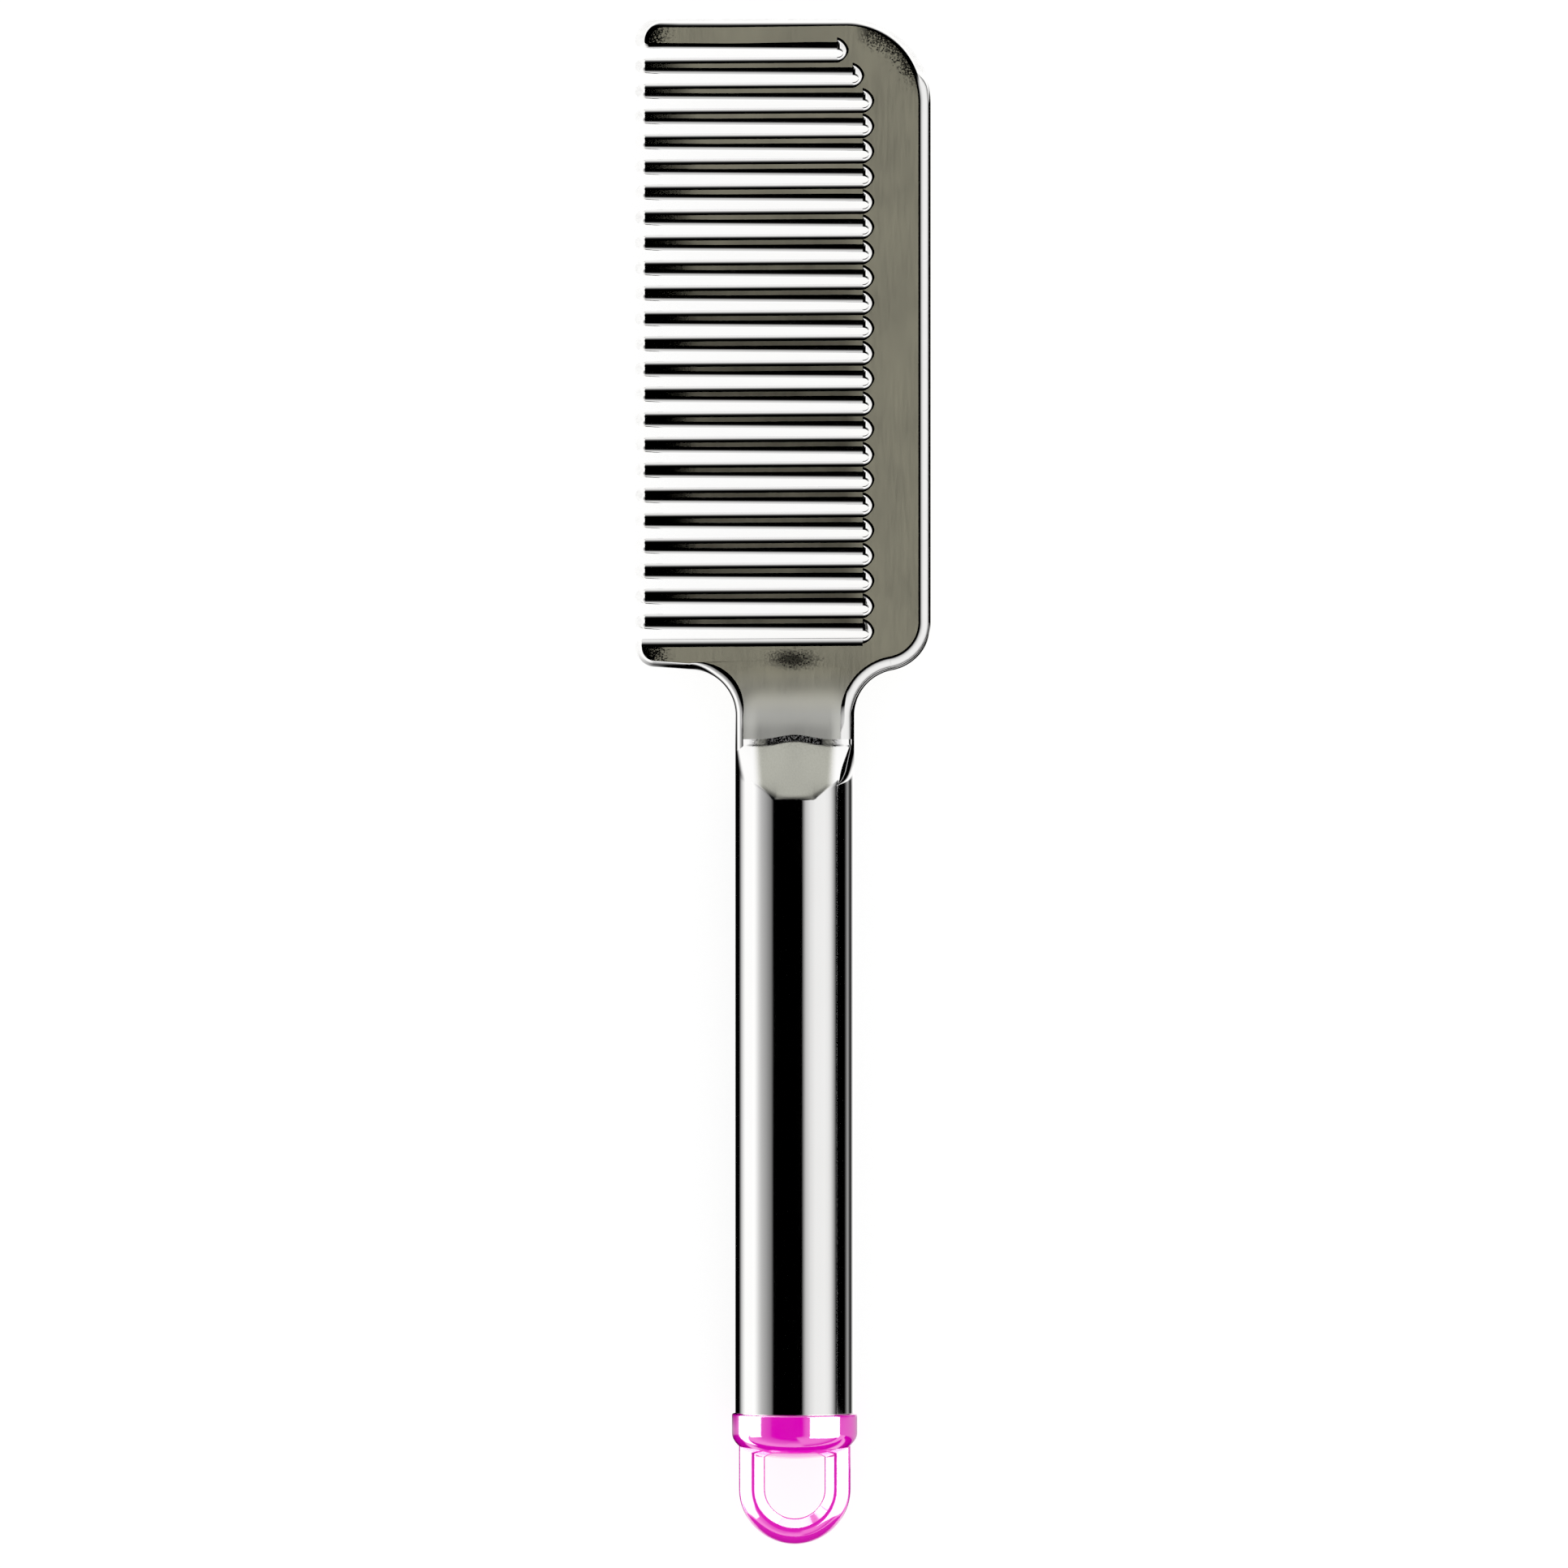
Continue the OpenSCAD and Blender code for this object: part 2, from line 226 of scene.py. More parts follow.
def satin_steel():
    """The blade's flat faces: fine lengthwise grain, rubbed smoother in places, and rougher on the neck,
    whose colour is also painted paler there as a painted highlight on its rising face.
    """
    material, n, bsdf = surface("satin_steel_face")
    grain = n.noise(n.stretched((2600, 240, 2600)), 1.0, 4.0, 0.6)
    cloud = n.noise(n.stretched((150, 110, 150)), 1.0, 3.0)
    speck = n.span(n.noise(n.stretched((4200, 4200, 4200)), 1.0, 2.0), 0.3, 0.7, -0.0016, 0.0016)
    x, y, _ = n.place()  # in metres, as all the places below
    ragged_x = n.math("ADD", x, speck)
    # Rubbed along the teeth, most at their tips, and more towards the near end
    toothed = n.product(n.span(y, 0.0192, 0.0198, 0, 1), n.span(y, 0.0980, 0.0986, 1, 0))
    by_place = n.math("ADD", n.span(x, -0.0186, -0.0115, 0.36, 0.0), n.span(y, 0.060, 0.085, 0.17, 0.02))
    teeth = n.product(toothed, n.product(n.span(x, 0.0085, 0.0110, 1, 0), by_place))
    # Rubbed at the tips of the guard teeth
    tips = n.product(n.span(ragged_x, -0.0176, -0.0156, 0.36, 0.0), n.math("SUBTRACT", 1.0, toothed))
    # Rubbed round the spine's large corner
    turn_x, turn_y = [n.math("SUBTRACT", c, mm * MM) for c, mm in zip((x, y), CORNER)]
    reach = n.math("ADD", n.distance(turn_x, turn_y), speck)
    shoulder = n.product(n.span(reach, 0.0084, 0.0098, 0.0, 0.30),
                         n.product(n.span(turn_y, 0.001, 0.004, 0, 1), n.span(turn_x, 0.001, 0.003, 0, 1)))
    # Rubbed by the thumb, in a flat oval above the neck
    thumb_x = n.math("MULTIPLY", n.math("SUBTRACT", x, 0.0012), 0.42)
    thumb_y = n.math("SUBTRACT", y, 0.0164)
    worn = n.math("ADD", n.distance(thumb_x, thumb_y), n.math("MULTIPLY", speck, 0.35))
    thumb = n.span(worn, 0.0005, 0.0017, 0.28, 0.0)
    rubbed = n.most(teeth, tips, shoulder, thumb)
    # Over the neck: rougher, and a painted highlight that makes the colour paler on its rising face
    dull_and_painted_pale = n.span(y, 0.0150, 0.0090, 0.0, 1.0)
    rough = n.math("SUBTRACT", n.span(cloud, 0.3, 0.7, 0.47, 0.55), rubbed)
    rough = n.math("ADD", rough, n.math("ADD", n.span(grain, 0.3, 0.7, -0.03, 0.03),
                                        n.math("MULTIPLY", dull_and_painted_pale, 0.06)))
    colour = n.mixed(n.span(cloud, 0.3, 0.7), (0.88, 0.842, 0.655), (0.83, 0.795, 0.615))
    colour = n.mixed(dull_and_painted_pale, colour, (0.93, 0.93, 0.88))  # painted paler on the neck: a painted highlight where its rising face catches more light
    wire(n, bsdf, {"Base Color": colour, "Roughness": rough, "Normal": n.bump(grain, 0.12, 0.00002)},
         Metallic=1.0)
    return material


def polished_steel():
    """The rounded edges of the blade and its teeth, buffed until they mirror."""
    material, n, bsdf = surface("polished_steel_edge")
    cloud = n.noise(n.stretched((400, 400, 400)), 1.0, 3.0)
    scratch = n.noise(n.stretched((350, 3200, 3200)), 1.0, 4.0, 0.6)
    rough = n.math("ADD", n.span(cloud, 0.3, 0.7, 0.03, 0.055), n.span(scratch, 0.4, 0.7, 0.0, 0.02))
    colour = n.mixed(n.span(cloud, 0.3, 0.7), (0.97, 0.965, 0.955), (0.95, 0.945, 0.935))
    wire(n, bsdf, {"Base Color": colour, "Roughness": rough, "Normal": n.bump(scratch, 0.03, 0.00001)},
         Metallic=1.0)
    return material


def tube_chrome():
    """Mirror plating with a faint haze and fine lengthwise hairlines, worn at the lip and pressed face."""
    material, n, bsdf = surface("tube_chrome_plate")
    haze = n.noise(n.stretched((120, 45, 120)), 1.0, 4.0)
    hair = n.noise(n.stretched((5200, 60, 5200)), 1.0, 3.0, 0.6)
    x, y, _ = n.place()
    lean = n.place("Normal")[1]
    aside = n.math("ABSOLUTE", n.math("SUBTRACT", x, X_HANDLE * MM))
    # The lip is rough, and the pressed face behind it is satin, narrower towards its foot
    lip = n.product(n.span(y, 0.0040, 0.0048, 0, 1), n.span(aside, 0.0048, 0.0060, 1, 0))
    pressed = n.product(n.span(lean, 0.03, 0.30, 0, 1, "SMOOTHSTEP"), n.span(y, -0.0040, -0.0026, 0, 1))
    narrowed = n.math("ADD", aside, n.math("MULTIPLY", y, -0.06))
    satin = n.product(pressed, n.span(narrowed, 0.0042, 0.0056, 1, 0, "SMOOTHSTEP"))
    fuzz = n.span(n.noise(n.stretched((3600, 3600, 3600)), 1.0, 2.0), 0.35, 0.65, 0.04, 0.36)
    filed = n.product(fuzz, lip)
    rough = n.math("ADD", n.span(haze, 0.35, 0.7, 0.035, 0.075), n.span(hair, 0.45, 0.75, 0.0, 0.03))
    rough = n.math("ADD", rough, n.math("MULTIPLY", satin, 0.30))
    rough = n.math("MAXIMUM", rough, filed)
    colour = n.mixed(n.span(haze, 0.3, 0.7), (0.955, 0.95, 0.945), (0.935, 0.93, 0.92))
    grey = n.mixed(n.span(hair, 0.3, 0.7), (0.55, 0.55, 0.49), (0.49, 0.49, 0.43))
    colour = n.mixed(satin, colour, grey)
    worn = n.add("ShaderNodeBump", {"Height": filed, "Normal": n.bump(hair, 0.02, 0.00001),
                                    "Strength": 0.2, "Distance": 0.0003}).outputs[0]
    wire(n, bsdf, {"Base Color": colour, "Roughness": rough, "Normal": worn}, Metallic=1.0)
    return material


def gloss_pink(name, deep, light):
    """Glossy moulded plastic: a deep colour under a hard clear gloss, with a faint orange-peel skin."""
    material, n, bsdf = surface(name)
    tone = n.noise(n.stretched((90, 90, 90)), 1.0, 3.0)
    peel = n.noise(n.stretched((700, 700, 700)), 1.0, 2.0)
    colour = n.mixed(n.span(tone, 0.3, 0.7), deep, light)
    rough = n.span(n.noise(n.stretched((260, 260, 260)), 1.0, 3.0), 0.3, 0.7, 0.06, 0.12)
    wire(n, bsdf, {"Base Color": colour, "Roughness": rough, "Normal": n.bump(peel, 0.05, 0.00002)},
         Metallic=0.0, IOR=1.8, Coat_Weight=1.0, Coat_Roughness=0.03, Coat_IOR=2.0)
    return material


# ---------------------------------------------------------------- the blade
# A tooth's half width at its tip and root; its rounded edge; where the flats of the tips begin
TOOTH_TIP, TOOTH_ROOT, EDGE, EDGE_DEPTH, NOSE_BACK, GUARD_BACK = 1.03, 1.23, 0.80, 0.55, 0.36, -0.08
TIP_DEPTH, ROOT_DEPTH = 0.9, 0.75
GUARD_DEPTH, LAST_EDGE, LAST_DEPTH = 0.36, 1.1, 0.85  # at the far guard, and at the last gap's near side
# How far the rounding runs in from the rim: spine, end of its large corner, far end, neck, near end
SPINE_RUN, CORNER_RUN, TOP_RUN, NECK_RUN, NEAR_RUN = 1.87, 1.05, 1.26, 1.05, 0.84
TOP_BREAK, NEAR_BREAK = (0.46, 50.0, 1.0), (0.05, 38.0, 1.0)
X_NOSE = X_TIP + TOOTH_TIP
TOOTH_TILT = 34  # degrees, past which a tooth's edge would mirror its neighbour


def half_gap(x):
    """Half the width of a gap, which narrows towards the spine as the teeth grow wider."""
    t = (x - X_NOSE) / (X_ROOT - X_NOSE)
    return PITCH / 2 - lerp(TOOTH_TIP, TOOTH_ROOT, t)


def lower_run(x):
    """The width of a tooth's lower rounded edge, which grows from EDGE at x = -9 to 1.02 at x = 8."""
    return lerp(EDGE, 1.02, min(max((x + 9.0) / 17.0, 0.0), 1.0))


def guard_run(x):
    """The same for the far guard's lower edge, which grows from x = -7 to x = 4."""
    return lerp(0.72, 1.0, min(max((x + 7.0) / 11.0, 0.0), 1.0))


def station(rim, normal, run, depth=None, flat=None, break_at=None, top=None, limit=90.0):
    """One section of the rounded edge: its outermost point, where the flat begins and how deep it drops.
    break_at says where the rounding breaks sharply: the share of the run, the slope after it in degrees,
    and how much of the break there is. Past the limit, in degrees, the shading hardly steepens any more."""
    flat = flat or (rim[0] - normal[0] * run, rim[1] - normal[1] * run)
    return {"rim": rim, "flat": flat, "normal": normal, "depth": depth or run,
            "break": break_at or (0.26, 45.0, 0.0), "top": top or normal, "limit": math.radians(limit)}


def arc(centre, radius, start, stop, steps, run, depth=None, break_at=None, inward=False):
    """Stations round an arc; run, depth and break_at are values, or functions of the way along it."""
    out = []
    for k in range(steps + 1):
        a = math.radians(lerp(start, stop, k / steps))
        c, s = math.cos(a), math.sin(a)
        sign = -1 if inward else 1
        here = [v(k / steps) if callable(v) else v for v in (run, depth, break_at)]
        out.append(station((centre[0] + radius * c, centre[1] + radius * s), (sign * c, sign * s),
                           here[0], here[1], None, here[2]))
    return out


def nose(y):
    """The rounded tip of a tooth: its flat ends in a straight line across, well back from the tip."""
    out = []
    for k in range(25):
        a = math.radians(90 + 7.5 * k)
        c, s = math.cos(a), math.sin(a)
        rim = (X_NOSE + TOOTH_TIP * c + NOSE_BACK * abs(s) ** 6, y + TOOTH_TIP * s)
        flat = (X_NOSE + NOSE_BACK, y + (TOOTH_TIP - EDGE) * s)
        top = unit((-abs(c) ** 0.4, math.copysign(abs(s) ** 2.5, s)))
        out.append(station(rim, (c, s), None, lerp(EDGE_DEPTH, TIP_DEPTH, abs(c)), flat,
                           (0.05, 40.0, abs(c)), top))
    return out


def slot_end(x, y):
    """The scooped end of one gap: a pointed scallop in the flat that drops to the gap's round end."""
    out = []
    power, reach, shift = 1.62, 1.6, 0.42  # the scallop's fullness, its depth, and its lean to one side
    outline, steps = 0.38, 32              # how wide the dark line round it is
    gap = half_gap(x)
    half = gap + EDGE + shift
    for k in range(steps + 1):
        a = math.radians(90 - 180 * k / steps)
        c, s = max(math.cos(a), 0.0), math.sin(a)
        px, py = c ** (2 / power), math.copysign(abs(s) ** (2 / power), s)
        flat = (x + reach * px, y + shift + half * py)
        # On the far side the shading stays turned towards the gap's end
        flat_turn, rim_turn = (max(px, 0.45), max(c, 0.75)) if s > 0 else (px, c)
        inward = unit((-(flat_turn ** (power - 1)) / reach - 1e-6,
                       -math.copysign(abs(py) ** (power - 1), py) / half))
        rim = (x + ROOT_R * c, y + gap * s)
        black = outline / math.dist(rim, flat)
        broken = (black, 41.0, 1.0 if s > 0 else smooth(1.6 * c))
        out.append(station(rim, unit((-rim_turn / ROOT_R, -s / gap)), None, lerp(EDGE_DEPTH, ROOT_DEPTH, c),
                           flat, broken, inward, 46 if s > 0.9 else 40))
    return out


def far_guard():
    """The far end from the spine's corner to the guard tooth's tip, and where the flat ends there."""
    out = []
    x_flat, y_flat, across = -16.1, 99.3, 2.05  # the centre of the flat's own round end, and its half width
    for k in range(1, 12):
        x = lerp(CORNER[0], x_flat, k / 12)
        run = lerp(CORNER_RUN, TOP_RUN, min((CORNER[0] - x) / 16, 1))
        out.append(station((x, Y_TOP), (0, 1), run, HALF_T, None, TOP_BREAK))
    tip_y = Y_TOP - GUARD_R
    guard_flat = (x_flat - across, tip_y - TOOTH_TIP + guard_run(X_TIP))
    for k in range(25):
        t = k / 24
        a, b = math.radians(90 + 90 * t), math.radians(90 + 86 * t)
        normal = (math.cos(a), math.sin(a))
        rim = (X_TIP + GUARD_R * (1 + normal[0]), tip_y + GUARD_R * normal[1])
        flat = (x_flat + across * math.cos(b), y_flat + (Y_TOP - TOP_RUN - y_flat) * math.sin(b))
        out.append(station(rim, normal, None, lerp(HALF_T, TIP_DEPTH, smooth(2 * t - 1)), flat,
                           (lerp(0.46, 0.32, t), 50.0, 1.0)))
    for k in range(1, 13):
        a = math.radians(180 + 7.5 * k)
        c, s = math.cos(a), math.sin(a)
        rim = (X_NOSE + TOOTH_TIP * c + (guard_flat[0] - X_NOSE) * abs(s) ** 6, tip_y + TOOTH_TIP * s)
        depth = lerp(0.43 * guard_run(X_TIP), TIP_DEPTH, abs(c))
        out.append(station(rim, (c, s), None, depth, guard_flat, (0.30, 50.0, abs(c)),
                           unit((-abs(c) ** 0.4, -abs(s) ** 2.5))))
    return out, guard_flat


def near_guard():
    """The near guard tooth's tip, and the near end as far as the hollow."""
    out = []
    tip_y = Y_BOTTOM + GUARD_R
    for k in range(13):
        a = math.radians(90 + 7.5 * k)
        c, s = math.cos(a), math.sin(a)
        rim = (X_NOSE + TOOTH_TIP * c + GUARD_BACK * abs(s) ** 6, tip_y + TOOTH_TIP * s)
        flat = (X_NOSE + GUARD_BACK, tip_y + (TOOTH_TIP - LAST_EDGE) * s)
        out.append(station(rim, (c, s), None, TIP_DEPTH, flat, (0.05, 40.0, abs(c)),
                           unit((-abs(c) ** 0.4, abs(s) ** 2.5))))
    out += arc((X_TIP + GUARD_LOW_R, tip_y), GUARD_LOW_R, 180, 265, 24,
               lambda t: lerp(TOOTH_TIP + GUARD_BACK, NEAR_RUN, smooth(t)),
               lambda t: lerp(TIP_DEPTH, HALF_T, smooth(t)), (0.05, 40.0, 1.0))[1:]
    x_from, y_from = -17.54, 15.42  # from here the edge still falls slightly to the hollow
    for x in (-16.5, -15.5, -14.5, -13.5):
        rim = (x, lerp(y_from, Y_BOTTOM, (x - x_from) / (X_HOLLOW_FAR - x_from)))
        out.append(station(rim, unit((-0.09, -1)), NEAR_RUN, HALF_T, None, NEAR_BREAK))
    out.append(station((X_HOLLOW_FAR, Y_BOTTOM), (0, -1), NEAR_RUN, HALF_T, None, NEAR_BREAK))
    return out


def blade_patches():
    """Every smooth stretch of the blade's rounded edge, in order round the outline, and the four
    stretches along the neck and its hollows."""
    hidden = 2.2  # how far the neck's sides run on into the tube
    neck_ys = [lerp(Y_MOUTH - hidden, Y_HOLLOW, k / 10) for k in range(11)]
    sides = {
        "neck_right": [station((X_HANDLE + TUBE_R, y), (1, 0), SPINE_RUN, HALF_T) for y in neck_ys],
        "near_hollow": arc((X_HOLLOW_NEAR, Y_HOLLOW), HOLLOW_R, 180, MEET, 24, SPINE_RUN, HALF_T,
                           None, True),
        "far_hollow": arc((X_HOLLOW_FAR, Y_HOLLOW), HOLLOW_R, 90, 0, 24,
                          lambda t: lerp(NEAR_RUN, NECK_RUN, t) + 0.6 * math.sin(math.pi * t), HALF_T,
                          lambda t: (lerp(0.05, 0.26, smooth(3 * t)), 38.0, 1 - smooth(2.5 * t)), True),
        "neck_left": [station((X_HANDLE - TUBE_R, y), (-1, 0), NECK_RUN, HALF_T) for y in neck_ys[::-1]]}
    outer = arc(SHOULDER, SHOULDER_R, MEET - 180, 0, 40, SPINE_RUN, HALF_T)
    outer.append(station((X_SPINE, CORNER[1]), (1, 0), SPINE_RUN, HALF_T))
    outer += arc(CORNER, CORNER_R, 0, 90, 60, lambda t: lerp(SPINE_RUN, CORNER_RUN, smooth(t)), HALF_T,
                 lambda t: (lerp(0.28, 0.46, t), 50.0, smooth((t - 0.12) / 0.2)))[1:]
    guard, guard_flat = far_guard()
    patches = [outer + guard]
    for i, x_end in enumerate(GAP_ENDS):
        y, first, last = FIRST_GAP - PITCH * i, i == 0, i == GAPS - 1
        starts = (guard_flat[0] if first else X_NOSE + NOSE_BACK,
                  X_NOSE + (GUARD_BACK if last else NOSE_BACK))
        upper, lower = [[lerp(start, x_end, k / 12) for k in range(13)] for start in starts]
        run_of, depth = (guard_run, GUARD_DEPTH) if first else (lower_run, EDGE_DEPTH)
        patches[-1] += [station((x, y + half_gap(x)), (0, -1), run_of(x), depth, limit=TOOTH_TILT)
                        for x in upper[1:]]
        patches.append(slot_end(x_end, y))
        run, depth = (LAST_EDGE, LAST_DEPTH) if last else (EDGE, EDGE_DEPTH)
        patches.append([station((x, y - half_gap(x)), (0, 1), run, depth, limit=TOOTH_TILT)
                        for x in reversed(lower)])
        if not last:
            patches[-1] += nose(y - PITCH / 2)
    patches[-1] += near_guard()
    return patches, sides


def section(s):
    """The points and normals of one rounded section, from the flat down to the rim. The normals belong
    to a section that breaks sharply where the station says, which the points don't follow."""
    run = math.dist(s["flat"], s["rim"])
    at, slope, amount = s["break"]
    shares = [(at * k / 3, False) for k in range(4)]
    shares += [(at + (1 - at) * k, True) for k in (0, 0.15, 0.3, 0.45, 0.6, 0.72, 0.83, 0.91, 0.97, 1.0)]
    out = []
    for share, after in shares:
        a = math.asin(min(share, 1.0))
        p = (lerp(s["flat"][0], s["rim"][0], share), lerp(s["flat"][1], s["rim"][1], share),
             HALF_T - s["depth"] * (1 - math.cos(a)))
        n2 = unit(tuple(lerp(t, r, share) for t, r in zip(s["top"], s["normal"])))
        tilt = math.atan2(s["depth"] * math.sin(a), run * math.cos(a))
        if after:
            broken = math.radians(lerp(slope, 90, (share - at) / (1 - at)))
            tilt = lerp(tilt, max(tilt, broken), amount)
        tilt = min(tilt, s["limit"]) + 0.06 * max(tilt - s["limit"], 0.0)
        out.append((p, (n2[0] * math.sin(tilt), n2[1] * math.sin(tilt), math.cos(tilt))))
    return out


def swell(x, y):
    """How far the neck's face rises above the blade's flat, towards the mouth of the tube: it dips a little
    first, and rises to the lip."""
    dip_from, dip_len, dip_h, rise_from, below_lip = 15.6, 6.0, 0.16, 15.0, 0.06
    dip = -dip_h * math.sin(math.pi * min(max((dip_from - y) / dip_len, 0.0), 1.0)) ** 2
    rise = (LIP_H - below_lip - HALF_T) * smooth((rise_from - y) / (rise_from - Y_MOUTH) * 1.04)
    return (dip + rise) * smooth((7.6 - abs(x - X_HANDLE)) / 3.0)


def swell_slope(x, y):
    """The lean of the neck's face across and along, for its shading: a good deal stronger than its
    height, as the buffed face shows it."""
    h = 0.02
    across = (swell(x - h, y) - swell(x + h, y)) / (2 * h)
    along = (swell(x, y - h) - swell(x, y + h)) / (2 * h)
    lean = smooth((14.6 - y) / 5.6) * (1 - 0.35 * smooth((8.2 - y) / 1.6))
    lean *= smooth((8.4 - abs(x - X_HANDLE)) / 1.8)
    return (across, along + 0.28 * lean)


def swollen(row):
    """A section of the neck's side, raised with the neck's face."""
    out = []
    for k, (p, n) in enumerate(row):
        slope, keep = swell_slope(p[0], p[1]), 1 - k / (len(row) - 1)
        z = p[2] + swell(p[0], p[1]) * max(p[2], 0) / HALF_T
        out.append(((p[0], p[1], z), unit((n[0] + slope[0] * keep, n[1] + slope[1] * keep, n[2]))))
    return out


def make_blade(face, edge):
    """The toothed plate and its neck, as far as the neck can be seen: rounded edges, walls and faces."""
    skin = Skin()
    patches, sides = blade_patches()
    up = (0, 0, 1)
    # The small steps between two stretches that meet at the same place
    for one, other in zip(patches, patches[1:]):
        one, other = section(one[-1]), section(other[0])
        for k in range(len(one) - 1):
            corners = (one[k], one[k + 1], other[k + 1], other[k])
            skin.twin([(p, (-1, 0, 0.2)) for p, _ in corners], 1)
    for patch in patches + list(sides.values()):
        rows = [section(s) for s in patch]
        if patch not in patches:
            rows = [swollen(row) for row in rows]
        for a, b in zip(rows, rows[1:]):
            for k in range(len(a) - 1):
                skin.twin([a[k], a[k + 1], b[k + 1], b[k]], 1)
        for s, t in zip(patch, patch[1:]):
            za, zb = HALF_T - s["depth"], HALF_T - t["depth"]
            na, nb = (*s["normal"], 0), (*t["normal"], 0)
            skin.face([((*s["rim"], za), na), ((*s["rim"], -za), na),
                       ((*t["rim"], -zb), nb), ((*t["rim"], zb), nb)], 1)
    # The neck's face in rows from side to side, then the rest of the flat as one face
    left = [s["flat"] for s in sides["far_hollow"] + sides["neck_left"][1:]]
    right = [s["flat"] for s in sides["near_hollow"][::-1] + sides["neck_right"][-2::-1]]
    columns = 36
    rows = []
    for a, b in zip(left, right):
        row = []
        for k in range(columns + 1):
            x, y = lerp(a[0], b[0], k / columns), lerp(a[1], b[1], k / columns)
            row.append(((x, y, HALF_T + swell(x, y)), (*swell_slope(x, y), 1)))
        rows.append(row)
    for a, b in zip(rows, rows[1:]):
        for k in range(columns):
            skin.twin([b[k], b[k + 1], a[k + 1], a[k]], 0)
    outline = [((*s["flat"], HALF_T), up) for patch in patches for s in patch]
    outline += [(p, up) for p, _ in rows[0]]
    skin.twin(outline, 0)
    return skin.build("blade_body", [face, edge])


# ---------------------------------------------------------------- the tube
def soft_min(one, other, soft):
    """The lower of two heights, with the crease between them rounded off."""
    near = max(soft - abs(one - other), 0.0)
    return min(one, other) - near * near / (4 * soft)


def mouth_height(y):
    """Half the tube's height above and below its axis, from the round tube to the lip."""
    foot, slope, bend = 5.45, 0.7351, 0.25  # the lip's flat ends at foot, and the face rises after bend
    d = max(foot - y, 0.0)
    return LIP_H + (slope * (d - bend / 2) if d > bend else slope * d * d / (2 * bend))


def lip_back(u):
    """How far the lip is bowed back from its foremost point, across the tube."""
    bow, half_width = 0.6, 4.6
    return bow * smooth(abs(u) / half_width)


def make_tube(chrome):
    """The tube's outside, from its rear end to the pressed face and the lip, in rings from rear to front."""
    skin = Skin()
    sides, chamfer, chamfer_in, rounded, blend = 256, 0.15, 0.12, 1.0, 1.2
    lip_edge, lip_depth = 0.05, 0.6
    ys = [Y_TUBE_END]
    ys += [lerp(Y_TUBE_END + chamfer, Y_ROUND - rounded, k / 24) for k in range(25)]
    ys += [lerp(Y_ROUND - rounded, Y_MOUTH, k / 90) for k in range(1, 91)]

    def outer(y, j, shrink=0.0):
        a = 2 * math.pi * j / sides
        c, s = math.cos(a), math.sin(a)
        radius = TUBE_R - shrink
        part = min(max((y - Y_ROUND) / (Y_MOUTH - Y_ROUND), 0.0), 1.0)
        z, u = radius * abs(s), radius * c
        if y > Y_ROUND - blend:
            flat = lerp(4.0, 4.2, part)  # half the width over which the pressed face is flat
            corner = max(abs(u) - flat, 0.0) / (radius - flat)
            # Near its foot the pressed face still follows the round of the tube
            sag = radius - math.sqrt(radius * radius - min(abs(u), 2.5) ** 2)
            height = mouth_height(y) - shrink - sag * math.exp(-max(y - Y_ROUND, 0.0) / blend)
            pressed = height * math.sqrt(max(1 - corner * corner, 0.0))
            z = max(soft_min(z, pressed, 0.30 + 0.4 * part), 0.0)
        back = lip_back(u) * smooth(part / 0.9)
        return (X_HANDLE + u, y - back, math.copysign(z, s))

    def ring(y, shrink=0.0):
        return [outer(y, j, shrink) for j in range(sides)]

    rings = [ring(ys[0], chamfer_in)] + [ring(y) for y in ys[1:]]
    rings += [ring(Y_MOUTH, lip_edge), ring(Y_MOUTH - lip_depth, TUBE_WALL)]

    def normals(k, j):
        # No normal looks across the chamfer at the rear end, or over the edge of the lip
        ahead = k if k == len(ys) - 1 else min(k + 1, len(rings) - 1)
        behind = k if k == 1 else max(k - 1, 0)
        before, after = rings[behind][j], rings[ahead][j]
        left, right = rings[k][(j - 1) % sides], rings[k][(j + 1) % sides]
        v = tuple(b - a for a, b in zip(before, after))
        u = tuple(b - a for a, b in zip(left, right))
        n = unit((u[2] * v[1] - u[1] * v[2], u[0] * v[2] - u[2] * v[0], u[1] * v[0] - u[0] * v[1]))
        x, y, _ = rings[k][j]
        # The sides of the lip are shaded as if rounded forwards
        lean = 0.42 * smooth((abs(x - X_HANDLE) - 2.9) / 1.6) * smooth((y - 4.6) / 0.5)
        return (n[0], n[1] + lean * min(2 * abs(n[2]), 1), n[2])

    around = [[normals(k, j) for j in range(sides)] for k in range(len(rings))]
    for k in range(len(rings) - 1):
        for j in range(sides):
            i = (j + 1) % sides
            skin.face([(rings[k][j], around[k][j]), (rings[k][i], around[k][i]),
                       (rings[k + 1][i], around[k + 1][i]), (rings[k + 1][j], around[k + 1][j])][::-1])
    # The wall's end, under the cap's rim
    n, bore = (0, -1, 0), TUBE_R - TUBE_WALL
    turns = [2 * math.pi * j / sides for j in range(sides)]
    core = [(X_HANDLE + bore * math.cos(a), Y_TUBE_END, bore * math.sin(a)) for a in turns]
    for j in range(sides):
        i = (j + 1) % sides
        skin.face([(core[j], n), (core[i], n), (rings[0][i], n), (rings[0][j], n)])
    return skin.build("tube_shell", [chrome])


# ---------------------------------------------------------------- the cap and the loop
def turned(skin, profile, sides=192):
    """A profile of (radius, y, normal along radius, normal along y), turned round the handle's axis."""
    rows = []
    for r, y, nr, ny in profile:
        row = []
        for j in range(sides + 1):
            a = 2 * math.pi * (j % sides) / sides
            row.append(((X_HANDLE + r * math.cos(a), y, r * math.sin(a)),
                        (nr * math.cos(a), ny, nr * math.sin(a))))
        rows.append(row)
    for a, b in zip(rows, rows[1:]):
        for j in range(sides):
            skin.face([a[j + 1], a[j], b[j], b[j + 1]])


